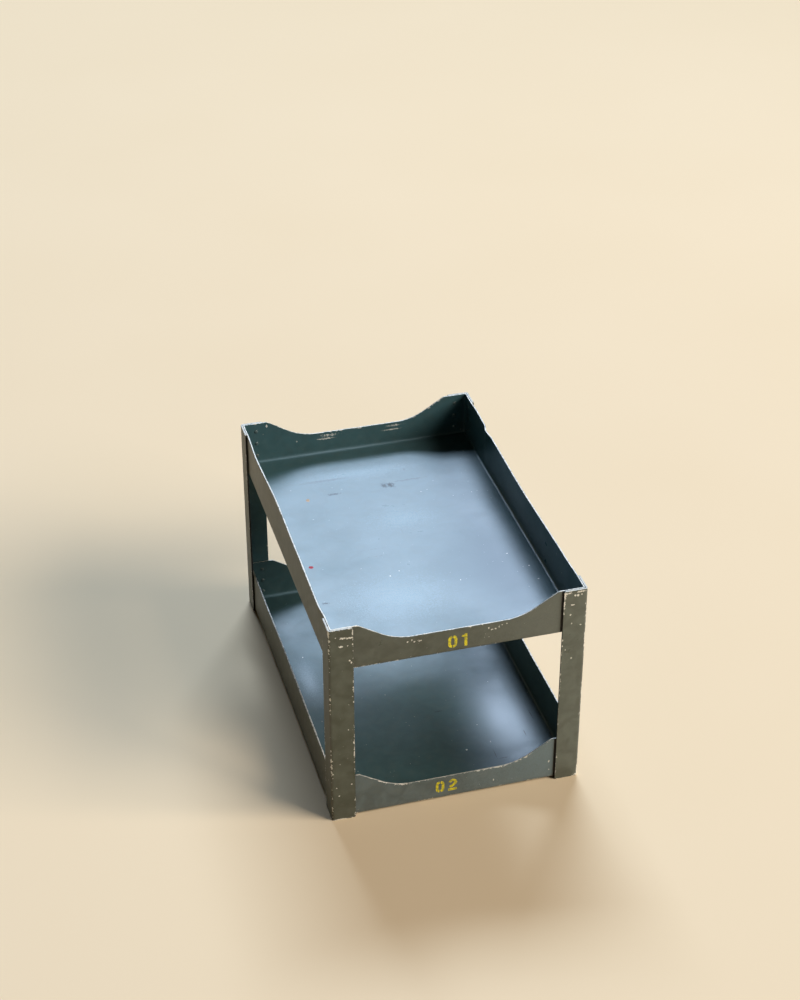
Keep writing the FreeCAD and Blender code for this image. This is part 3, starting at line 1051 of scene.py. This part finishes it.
@dataclass
class CornerPost:
    """A post bent from sheet to an angle, with round flange corners and worn edges."""

    node: str
    sheet: float = 1.8
    inner_bend: float = 0.6
    film: float = 0.05
    corner_radius: float = 2.5
    cut_round: float = 0.3
    corner_parts: int = 5
    bend_parts: int = 8
    spacing: float = 4.0
    # Less than the film of paint, so that the rivets' heads stay covered
    ripple: float = 0.05
    ripple_length: float = 55.0

    def __post_init__(self) -> None:
        """Takes the post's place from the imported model, with a film of paint all round."""
        low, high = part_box(self.node)
        low, high = np.array(low) / MM, np.array(high) / MM
        self.signs = np.sign(low[:2] + high[:2])
        self.corner = np.where(self.signs > 0, high[:2], low[:2]) + self.signs * self.film
        self.flange = float(high[0] - low[0]) + 2 * self.film
        self.bottom, self.top = float(low[2]), float(high[2]) + self.film
        self.sheet += 2 * self.film
        self.inner_bend -= self.film

    @property
    def outer_bend(self) -> float:
        """The bend's outer radius."""
        return self.inner_bend + self.sheet

    @property
    def straight(self) -> float:
        """How long a flange is beside the bend."""
        return self.flange - self.outer_bend

    @property
    def around(self) -> float:
        """The way round the outer face, from one flange's edge to the other's."""
        return 2 * self.straight + self.outer_bend * math.pi / 2

    def outline(self, inset: float) -> tuple[np.ndarray, np.ndarray]:
        """The unrolled face, drawn in by an inset.

        Args:
            inset: how far from the cut edge it stays.

        Returns:
            How far round each column is, and the heights of each column's points.
        """
        turns = np.linspace(0, math.pi / 2, self.corner_parts + 1)
        radius = self.corner_radius - inset
        round_end = inset + radius * (1 - np.cos(turns))
        rise = radius * (1 - np.sin(turns))
        bend = np.linspace(self.straight, self.around / 2, self.bend_parts // 2 + 1)
        flange = stations([round_end[-1], self.straight], self.spacing)
        first = np.concatenate((round_end, flange[1:], bend[1:]))
        columns = np.concatenate((first, self.around - first[-2::-1]))
        rises = np.zeros(len(columns))
        rises[: len(rise)] = rise
        rises[-len(rise) :] = rise[::-1]
        keys = [0, 1, WEAR_REACH, self.top - WEAR_REACH, self.top - 1, self.top]
        rows = stations(keys, self.spacing) / self.top
        low, high = self.bottom + inset + rises, self.top - inset - rises
        heights = low[:, None] + (high - low)[:, None] * rows[None, :]
        return columns, heights

    def rolled(self, around: np.ndarray, depth: float) -> np.ndarray:
        """Rolls places on the unrolled sheet round the bend.

        Args:
            around: how far round the outer face they are.
            depth: how deep in the sheet.

        Returns:
            Their X and Y.
        """
        radius = self.outer_bend
        turn = np.clip((around - self.straight) / radius, 0, math.pi / 2)
        first = np.clip(self.straight - around, 0, None)
        last = np.clip(around - (self.around - self.straight), 0, None)
        x = radius - (radius - depth) * np.sin(turn) + first
        y = radius - (radius - depth) * np.cos(turn) + last
        if self.signs[0] * self.signs[1] < 0:
            x, y = y, x
        return self.corner - self.signs * np.column_stack((x, y))

    def layer(self, draft: Draft, inset: float, depth: float, rim: bool) -> np.ndarray:
        """Draws one copy of the unrolled sheet.

        Args:
            draft: the mesh.
            inset: how far from the cut edge the copy stays.
            depth: how deep in the sheet it lies, from the outer face.
            rim: whether only its border is wanted.

        Returns:
            The points' numbers: the grid, or a closed row along the border.
        """
        columns, heights = self.outline(inset)
        around = np.repeat(columns, heights.shape[1])
        up = heights.ravel()
        wide, tall = heights.shape
        numbers = np.arange(wide * tall).reshape(wide, tall)
        sides = (numbers[:-1, 0], numbers[-1, :-1], numbers[:0:-1, -1], numbers[0, :0:-1])
        border = np.concatenate(sides)
        to_flange = np.minimum(around, self.around - around)
        to_cut = np.minimum.reduce([to_flange, up - self.bottom, self.top - up])
        to_bend = np.abs(around - self.around / 2)
        on_cut = inset < self.cut_round * 0.5
        # The cuts up the flanges are near-black, for dirt and painted shade, and the top one is
        # bare, most so in its middle
        upright = (to_flange < self.corner_radius * 0.6) & (up < self.top - self.corner_radius)
        bare = (1 - 0.5 * abs(2 * depth / self.sheet - 1)) * on_cut
        # The columns run from the flange on the side for two of the posts, and to it for the others
        half = self.around / 2 * (1 + MM)
        side = around > half if self.signs[0] * self.signs[1] > 0 else around < self.around - half
        traits = {
            # The side flange's outer face takes the browner side colour, a painted warm reflection
            # of the floor
            Trait.SIDE: side & (depth < self.sheet / 2),
            Trait.CUT_EDGE: np.clip(1 - to_cut / WEAR_REACH, 0, 1),
            Trait.BENT_EDGE: np.clip(1 - to_bend / WEAR_REACH, 0, 1) * (depth == 0),
            Trait.BARE_RIM: bare * (up > self.top - self.corner_radius * 0.4),
            Trait.DIRT_AND_SHADE_CUT: on_cut & upright,
            Trait.INSIDE: np.full(len(up), float(depth > self.sheet / 2)),
        }
        points = np.column_stack((self.rolled(around, depth), up))
        if rim:
            chosen = {trait: values[border] for trait, values in traits.items()}
            return draft.add_points(points[border], chosen)
        first = draft.add_points(points, traits)[0]
        draft.add_grid(first + numbers)
        return first + border

    def wobble(self, points: np.ndarray) -> np.ndarray:
        """Gives the long faces the faint waviness of bent sheet, and never moves them outwards.

        Args:
            points: the points, in millimetres.

        Returns:
            The moved points.
        """
        x, y, z = points.T
        wave = np.abs(self.ripple * ripples(z, x - y, self.ripple_length, DENT_SEED + 2)) / 2
        return points - np.column_stack((self.signs[0] * wave, self.signs[1] * wave, 0 * z))

    def build(self, material: bpy.types.Material) -> bpy.types.Object:
        """Draws the post and puts it in its CAD node's place.

        Args:
            material: its finish.

        Returns:
            The piece.
        """
        draft = Draft()
        cut = self.cut_round
        rounding = [
            (cut * (1 - math.sin(turn)), cut * (1 - math.cos(turn)))
            for turn in (math.pi / 4, math.pi / 2)
        ]
        border = [self.layer(draft, cut, 0, False)]
        border += [self.layer(draft, inset, depth, True) for inset, depth in rounding]
        border.append(self.layer(draft, 0, self.sheet / 2, True))
        for inset, depth in reversed(rounding):
            border.append(self.layer(draft, inset, self.sheet - depth, True))
        border.append(self.layer(draft, cut, self.sheet, False))
        draft.add_grid(np.array(border), closed=True)
        piece = draft.build(self.node + "_angle", material, self.wobble)
        return hand_over(piece, self.node)


@dataclass
class StencilNumber:
    """A plain two-figure number, dabbed on a front wall through a stencil."""

    name: str
    figures: str
    pan: FoldedPan
    middle: Range
    height: float = 14.5
    width: float = 9.0
    stroke: float = 2.9
    bridge: float = 1.0
    gap: float = 4.0
    # How far the paint stands off the wall and its back reaches into it
    thickness: float = 0.08
    root: float = 0.2
    raggedness: float = 0.10
    arc_points: int = 14
    spacing: float = 0.45

    def strokes(self, figure: str) -> list[np.ndarray]:
        """The middle lines of a figure's strokes, with the stencil's bridges left out.

        Args:
            figure: 0, 1 or 2.

        Returns:
            The lines, each as points from the figure's middle.
        """
        a, b = (self.width - self.stroke) / 2, (self.height - self.stroke) / 2
        end = b + self.stroke / 2
        if figure == "0":
            half = self.arc((0, b - a), a, 90 + self.bridge_angle(a), 180)
            lower = self.arc((0, a - b), a, 180, 270 - self.bridge_angle(a))
            left = np.concatenate((half, lower))
            return [left, left * (-1, 1)]
        if figure == "1":
            flag = np.array([(-a * 0.9, b - a * 0.7), (-self.stroke * 0.75, b)])
            return [np.array([(0, end), (0, -end)]), flag]
        bowl = self.arc((0, b - a), a, 165, -38)
        foot = np.array([(-a + 0.3, self.stroke + self.bridge - b - 0.6)])
        base = np.array([(-a - self.stroke / 2, -b), (a + self.stroke / 2, -b)])
        return [np.concatenate((bowl, foot)), base]

    def bridge_angle(self, radius: float) -> float:
        """The part of a turn that half a bridge takes, in degrees."""
        return math.degrees(self.bridge / 2 / radius)

    def arc(self, centre: Range, radius: float, start: float, end: float) -> np.ndarray:
        """Points along an arc, with its angles in degrees."""
        turns = np.radians(np.linspace(start, end, self.arc_points))
        return np.column_stack((np.cos(turns), np.sin(turns))) * radius + centre

    def ribbon(self, draft: Draft, line: np.ndarray, random: np.random.Generator) -> None:
        """Draws one stroke as a thin raised ribbon with a slightly ragged outline.

        Args:
            draft: the mesh.
            line: the stroke's middle line, in the plane of the wall.
            random: where its raggedness comes from.
        """
        steps = np.linalg.norm(np.diff(line, axis=0), axis=1)
        reach = np.concatenate(([0], np.cumsum(steps)))
        at = np.linspace(0, reach[-1], max(4, round(reach[-1] / self.spacing)))
        fine = np.column_stack([np.interp(at, reach, line[:, axis]) for axis in (0, 1)])
        run = np.gradient(fine, axis=0)
        run /= np.linalg.norm(run, axis=1)[:, None]
        aside = np.column_stack((-run[:, 1], run[:, 0]))
        edges = []
        for side in (-1, 1):
            half = self.stroke / 2 + random.normal(0, self.raggedness, len(fine))
            edges.append(fine + side * aside * half[:, None])
        rows = []
        sunk, proud = self.root, -self.thickness
        for edge, depth in ((0, sunk), (0, proud), (1, proud), (1, sunk)):
            x, z = (edges[edge] + self.middle).T
            points = np.column_stack((x, np.full(len(x), self.pan.low[1] + depth), z))
            rows.append(draft.add_points(points, {}))
        rows = np.array(rows)
        draft.add_grid(rows.T, closed=True)
        for end in (0, -1):
            draft.add_grid(rows[[[0, 1], [3, 2]], end])

    def build(self, material: bpy.types.Material) -> bpy.types.Object:
        """Draws all strokes and lays them on the wall.

        Args:
            material: their paint.

        Returns:
            The piece.
        """
        draft = Draft()
        random = np.random.default_rng(BRUSH_SEED)
        pitch = self.width + self.gap
        for index, figure in enumerate(self.figures):
            shift = (index - (len(self.figures) - 1) / 2) * pitch
            for line in self.strokes(figure):
                self.ribbon(draft, line + (shift, 0), random)
        return hand_over(draft.build(self.name, material, self.pan.bend))


@dataclass(frozen=True)
class SoftBox:
    """A rectangular lamp that faces the tray from a direction, with its sizes in metres."""

    name: str
    azimuth: float
    elevation: float
    distance: float
    size: Range
    colour: str
    radiance: float

    def build(self, target: Vector) -> bpy.types.Object:
        """Makes the lamp.

        Args:
            target: what it faces.

        Returns:
            The lamp.
        """
        lamp = bpy.data.lights.new(self.name, "AREA")
        lamp.shape = "RECTANGLE"
        lamp.size, lamp.size_y = self.size
        lamp.color = linear(self.colour)[:3]
        # An area lamp's radiance is its power over four times its area
        lamp.energy = 4 * self.size[0] * self.size[1] * self.radiance
        made = put_in_scene(self.name, lamp)
        out = direction(self.azimuth, self.elevation)
        made.location = target + out * self.distance
        made.rotation_mode = "QUATERNION"
        made.rotation_quaternion = out.to_track_quat("Z", "Y")
        made.visible_camera = False
        return made


@dataclass
class Studio:
    """The plain floor, soft light and camera."""

    # The camera's place, its degrees to the right of straight ahead and below the level, and its
    # focal length, matched to the photograph
    camera_place: Place = (-474.8, -1665.9, 1367.2)
    heading: float = 15.78
    fall: float = 33.20
    focal_pixels: float = 2048.8
    sensor: float = 36.0
    # In metres
    clip: Range = (0.05, 200)
    floor_size: float = 80.0
    # What a matt surface gets from all round, and what the camera and gloss see there low down
    dim_world: tuple[str, float] = ("#D8C6AC", 0.02)
    pale_world: tuple[str, float] = ("#E8DCC3", 1.0)
    pale_height: Range = (0.26, 0.48)
    target: Place = (0.0, 0.0, 160.0)
    lamps: Sequence[SoftBox] = (
        SoftBox("window_box", 13, 46, 14.0, (7.7, 3.3), "#CCE1FC", 20.5),
        SoftBox("sky_box", 10, 33, 14.0, (6.4, 3.0), "#CCE1FC", 4.8),
        SoftBox("front_box", 124, 31, 14.0, (7.3, 6.7), "#FFF7EF", 11.6),
    )

    def build(self) -> None:
        """Makes everything round the tray."""
        self.build_floor()
        self.build_world()
        self.build_camera()
        for lamp in self.lamps:
            lamp.build(Vector(self.target) * MM)
        bpy.context.scene.view_settings.view_transform = "Standard"

    def build_floor(self) -> None:
        """Makes the floor, level with the posts' feet."""
        half = self.floor_size / 2
        mesh = bpy.data.meshes.new("studio_floor")
        corners = [(-half, -half, 0), (half, -half, 0), (half, half, 0), (-half, half, 0)]
        mesh.from_pydata(corners, [], [(0, 1, 2, 3)])
        mesh.materials.append(StudioFloor().material(self.pale_world))
        put_in_scene("studio_floor", mesh)

    def build_world(self) -> None:
        """Makes an even dim surrounding, whose lower part the camera sees as a pale background."""
        world = bpy.data.worlds.new("studio_surrounding")
        world.use_nodes = True
        tree = world.node_tree
        lit, seen = (
            add_node(tree, "Background", (linear(colour), strength))
            for colour, strength in (self.dim_world, self.pale_world)
        )
        ahead = add_node(tree, "TexCoord", output="Generated")
        height = add_node(tree, "SeparateXYZ", (ahead,), "Z")
        low = add_node(tree, "MapRange", (height, *self.pale_height, 1, 0))
        shown = add_node(tree, "Math", (low, directly_seen(tree)), operation="MULTIPLY")
        mixed = add_node(tree, "MixShader", (shown, lit, seen))
        feed(tree.nodes["World Output"], {"Surface": mixed})
        bpy.context.scene.world = world

    def build_camera(self) -> None:
        """Makes the camera at the photograph's place."""
        lens = bpy.data.cameras.new("camera")
        lens.sensor_fit = "AUTO"
        lens.sensor_width = self.sensor
        lens.lens = self.focal_pixels / max(PICTURE_SIZE) * lens.sensor_width
        lens.clip_start, lens.clip_end = self.clip
        camera = put_in_scene("camera", lens)
        turned = direction(self.heading, -self.fall).to_track_quat("-Z", "Y").to_matrix().to_4x4()
        camera.matrix_world = Matrix.Translation(Vector(self.camera_place) * MM) @ turned
        bpy.context.scene.camera = camera


@dataclass
class Tray:
    """The whole desk tray: two pans, four posts, their rivets and the numbers."""

    post_rim: str = "#A29E93"
    upper_chips: Sequence[Mark] = (
        *Face(1, 189).marks(
            (-99.6, 227.4, 1.1, 2.1, 0.3), (-67, 202.3, 0.7, 0.8), (-34.5, 200.9, 8.5, 0.9, 0.9),
            (-31.5, 205, 5.5, 1.2, 1.7), (40.5, 200.4, 9, 0.7, 0.9), (43, 205.3, 6.5, 0.9, 1.7),
            (3.1, 208.3, 3.5, 0.8, 0.8),
        ),
        *Face(1, -190.3).marks(
            (-50.4, 203.3, 0.8, 0.8), (-46.1, 204.6, 0.7, 0.9), (-43.7, 202.3, 0.7, 0.9),
            (-38.4, 202.5, 1.5, 0.8, 1), (29.6, 203.4, 0.8, 1), (32.8, 201, 1.3, 0.6, 0.8),
            (36.5, 201.2, 1, 0.8), (40, 203, 0.6, 1.4, 0.8), (43, 204.6, 0.8, 0.6),
            (47.7, 205.3, 0.8, 0.6),
        ),
        *Face(2, 183.3, 2).marks(
            (-29.5, -54.8, 0.8, 0.9, 0.3), (-18.6, -48.5, 0.6, 0.7, 0.3),
            (94.9, -49.3, 1, 0.8, 0.3), (109.4, -75.8, 0.8, 0.8, 0.3),
            (111.3, -99.8, 0.9, 0.7, 0.3), (116.2, -129.7, 0.7, 0.7, 0.3),
            (36, -80.5, 0.6, 0.9, 0.4),
        ),
    )
    # Wiped spots, whose paler colour is a painted brighter sheen, a dull patch, a red spot, a tan
    # one, some scuffs and scratches, dusty roughness along the rear bend with a paler colour there
    # that is a painted highlight of the bend, a paler right end of the front panel that is painted
    # light from the right, and a near-black strip beside the front right post that is the painted
    # shadow of its flange
    upper_stains_and_painted_light: Sequence[StainAndPaintedLight] = (
        # Paler colour: a painted brighter sheen on the wiped spots
        StainAndPaintedLight("#547279", 0.26, Face(2, 183.3, 9).marks(
            (10, 41, 34, 20, 0.9), (-30, -92, 54, 38, 0.9), (-20, 139, 62, 13, 0.9),
        ), 0.05),
        StainAndPaintedLight("#455E66", 0.38, Face(2, 183.3, 9).marks((68, -65, 66, 105, 0.4)), 0.1),
        StainAndPaintedLight("#A0061E", 0.7, Face(2, 183.3, 2).marks((-102.4, -19.5, 2.6, 2.5, 0.15))),
        StainAndPaintedLight("#A88860", 0.55, Face(2, 183.3, 2).marks((-76.4, 101, 2.2, 3, 0.3))),
        StainAndPaintedLight("#1C2628", 0.5, Face(2, 183.3, 2).marks(
            (8.5, 108, 2.4, 4.6, 1.1), (15.5, 106.5, 3.6, 4.4, 1.1), (-46.7, 105.5, 5, 1.6, 1.4),
            (-103.7, -82.9, 3.2, 1.2, 1.2),
        )),
        StainAndPaintedLight("#31464A", 0.34, (
            *Face(2, 183.3, 2).marks(
                (-49.7, 133.6, 24, 2.2, 1.5), (38.3, 111.9, 16, 1.6, 1.5),
            ),
            *Face(2, 183.3, 1).marks(
                (8.2, 25.6, 6, 0.7, 1), (3.5, 20, 0.6, 6, 1), (37.5, 132.7, 1.6, 2.2, 1),
                (-29, -17.6, 14, 0.7, 1.2), (-35, -4.8, 18, 0.7, 1.2),
            ),
        ), 0.3),
        # Dusty roughness along the rear bend, and a paler colour there that is a painted bend
        # highlight
        StainAndPaintedLight("#5E7A85", 0.4, Face(1, 188.4, 3).marks((-38, 184.1, 150, 3, 0.15)), 0.1),
        # Paler right end of the front panel: painted light from the right
        StainAndPaintedLight("#60655D", 0.29, Face(1, -190.8, 1.9).marks((104, 205, 112, 80, 0.2)), 0.1),
        # Near-black strip beside the front right post: the painted shadow of its flange
        StainAndPaintedLight("#120E0A", 0.7, Face(1, -190.3).marks((102.8, 205, 1.1, 48, 0.12))),
    )
    # A spot rubbed to a gloss, the same dusty bend with its painted highlight, a wiped spot whose
    # paler colour is a painted brighter sheen, the same painted light on the panel's right end and
    # painted shadow beside the post, scratches
    lower_stains_and_painted_light: Sequence[StainAndPaintedLight] = (
        StainAndPaintedLight("#3A5659", 0.28, Face(2, 2.8, 9).marks((79, -84, 46, 88, 0.3)), 0.1),
        # Dusty roughness along the rear bend, and a paler colour there that is a painted bend
        # highlight
        StainAndPaintedLight("#5E7A85", 0.4, Face(1, 188.4, 3).marks((-70, 3.6, 90, 3, 0.15)), 0.1),
        # Paler colour: a painted brighter sheen on the wiped spot
        StainAndPaintedLight("#48646A", 0.37, Face(2, 2.8, 9).marks((-98, 22, 12, 40, 0.9)), 0.05),
        # Paler right end of the front panel: painted light from the right
        StainAndPaintedLight("#6A7C81", 0.29, Face(1, -190.8, 1.9).marks((96, 26, 104, 80, 0.2)), 0.1),
        # Near-black strip beside the front right post: the painted shadow of its flange
        StainAndPaintedLight("#120E0A", 0.7, Face(1, -190.3).marks((102.8, 26, 1.1, 48, 0.12))),
        StainAndPaintedLight("#1C2729", 0.5, Face(2, 2.8).marks(
            (112.6, -91, 0.5, 6, 0.9), (57, -142, 0.4, 7, 0.9), (64, -150, 5, 0.5, 0.9),
            (97, -118, 0.5, 4, 0.9), (21, -60, 4, 0.5, 0.9),
        )),
    )
    lower_chips: Sequence[Mark] = (
        *Face(1, -190.3).marks(
            (97.1, 23, 0.8, 1.6, 0.4), (39.3, 12.4, 0.6, 1.3, 0.4), (97.6, 12.5, 0.5, 0.9, 0.4),
        ),
        *Face(2, 2.8).marks((31.2, -127.5, 1, 1.2, 0.5)),
    )
    left_chips: Sequence[Mark] = (
        *Face(1, -191.5, 2).marks((-127.4, 228, 1.3, 4.2, 0.5)),
        *Face(1, -192.5).marks(
            (-113.4, 222, 3.4, 1.1, 0.8), (-106.3, 221.2, 4.2, 0.9, 0.8),
            (-103.9, 227, 0.7, 3.4, 0.7), (-115.4, 212.5, 2, 1.3, 0.5), (-120.4, 223.5, 0.6, 0.6),
            (-103.9, 213.3, 1, 1.1, 0.4), (-108.9, 212.4, 0.6, 0.6), (-107.2, 194.8, 0.8, 1.2, 0.4),
            (-105.6, 192.2, 0.8, 1.2, 0.4), (-109.5, 112, 0.6, 0.7), (-125.9, 59.5, 1, 0.9, 0.4),
            (-122.4, 41.4, 0.7, 0.8, 0.4), (-120, 31, 0.8, 0.9, 0.4), (-107.3, 43.4, 0.8, 0.7, 0.4),
            (-121, 0.8, 7.5, 0.7, 0.7),
        ),
    )
    right_chips: Sequence[Mark] = (
        *Face(1, -192.5).marks(
            (104.4, 227.5, 1.1, 5.2, 0.7), (104.2, 218.5, 0.9, 3, 1), (104, 212.5, 1, 1, 0.5),
            (103.9, 206.6, 0.9, 1.6, 0.4), (105.6, 229.2, 1.6, 1.5, 0.6),
            (109, 229.7, 2.4, 0.9, 0.9), (121, 229.9, 4.4, 0.8, 0.9), (114.6, 226.3, 1.1, 1.3, 0.2),
            (117.5, 226, 1.3, 1.5, 0.2), (121.3, 226.5, 0.8, 0.8, 0.4),
            (112.6, 215.5, 2.2, 0.7, 0.6), (110.8, 204, 1, 1.1, 0.3), (112.4, 193.7, 0.5, 0.9),
            (121.5, 190.6, 0.9, 0.6), (103.9, 174.7, 0.9, 1.2, 0.4), (103.9, 167.9, 0.9, 1.1, 0.4),
            (107.3, 162.8, 0.6, 0.7), (114, 151.7, 0.7, 0.8),
        ),
        *Face(1, -192).marks((127.7, 211.2, 1.1, 2.1, 0.4), (127.7, 205.3, 0.7, 1.2, 0.5)),
        *Face(1, -192, 2).marks((126, 1.5, 3, 1.8, 0.8)),
    )

    def build(self) -> None:
        """Builds and dresses every piece, in order."""
        upper_paint = Enamel(
            "enamel_sprayed_upper",
            outside="#52574E",
            chips=self.upper_chips,
            stains_and_painted_light=self.upper_stains_and_painted_light,
        ).material()
        lower_paint = Enamel(
            "enamel_sprayed_lower",
            outside="#5C696A",
            # Darker inside than the upper pan's: painted shade under the upper pan
            inside="#3A5659",
            gloss_roughness=0.40,
            dull_roughness=0.44,
            chips=self.lower_chips,
            stains_and_painted_light=self.lower_stains_and_painted_light,
        ).material()
        # The right post's paint is lighter and the left's darker: painted light falling from the
        # right
        fronts = (("left", "#4F5449", self.left_chips), ("right", "#5F655B", self.right_chips))
        post_paints = {}
        for side, outside, chips in fronts:
            paint = Enamel(f"enamel_sprayed_{side}_post", outside, rim=self.post_rim, chips=chips)
            post_paints[f"front_{side}_post"] = paint.material()
        plain_paint = Enamel("enamel_sprayed_posts", rim=self.post_rim).material()
        # The rivet heads sit inside the pans and take a teal like theirs, with its painted cool
        # reflection
        rivet_paint = Enamel("enamel_sprayed_rivets", outside="#4A5E5F").material()
        upper = FoldedPan(
            "upper_tray",
            left_bow=((-170, 0), (-148, -1.3), (-60, -0.3), (28, 0.8), (122, -1.4), (168, 0)),
            right_bow=(
                (-168, 0), (-140, -0.8), (-8, -2.6), (92, -1.6),
                (107, -2.9), (122, -0.2), (150, 0.4), (168, 0),
            ),
        )
        upper.build(upper_paint)
        lower = FoldedPan(
            "lower_tray",
            ripple=0.03,
            left_bow=((-170, 0), (10, 0.6), (170, 0)),
            right_bow=((-170, 0), (-20, -0.8), (170, 0)),
        )
        lower.build(lower_paint)
        for node in sorted(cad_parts):
            if node.endswith("_post"):
                CornerPost(node).build(post_paints.get(node, plain_paint))
            elif node.endswith("_rivets"):
                self.dress(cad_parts[node], rivet_paint)
        number_paint = StencilPaint().material()
        StencilNumber("upper_number", "01", upper, (0.5, 194.6)).build(number_paint)
        StencilNumber("lower_number", "02", lower, (-10.0, 16.6)).build(number_paint)

    @staticmethod
    def dress(node: bpy.types.Object, material: bpy.types.Material) -> None:
        """Gives a CAD node its finish.

        Args:
            node: the node.
            material: the finish.
        """
        for place in node.material_slots:
            place.material = material
        if not node.material_slots:
            node.data.materials.append(material)
        logging.info("%s dressed", node.name)


def main() -> None:
    """Builds the studio and the tray."""
    logging.basicConfig(level=logging.INFO, format="%(message)s")
    Studio().build()
    Tray().build()


if __name__ == "__main__":
    main()
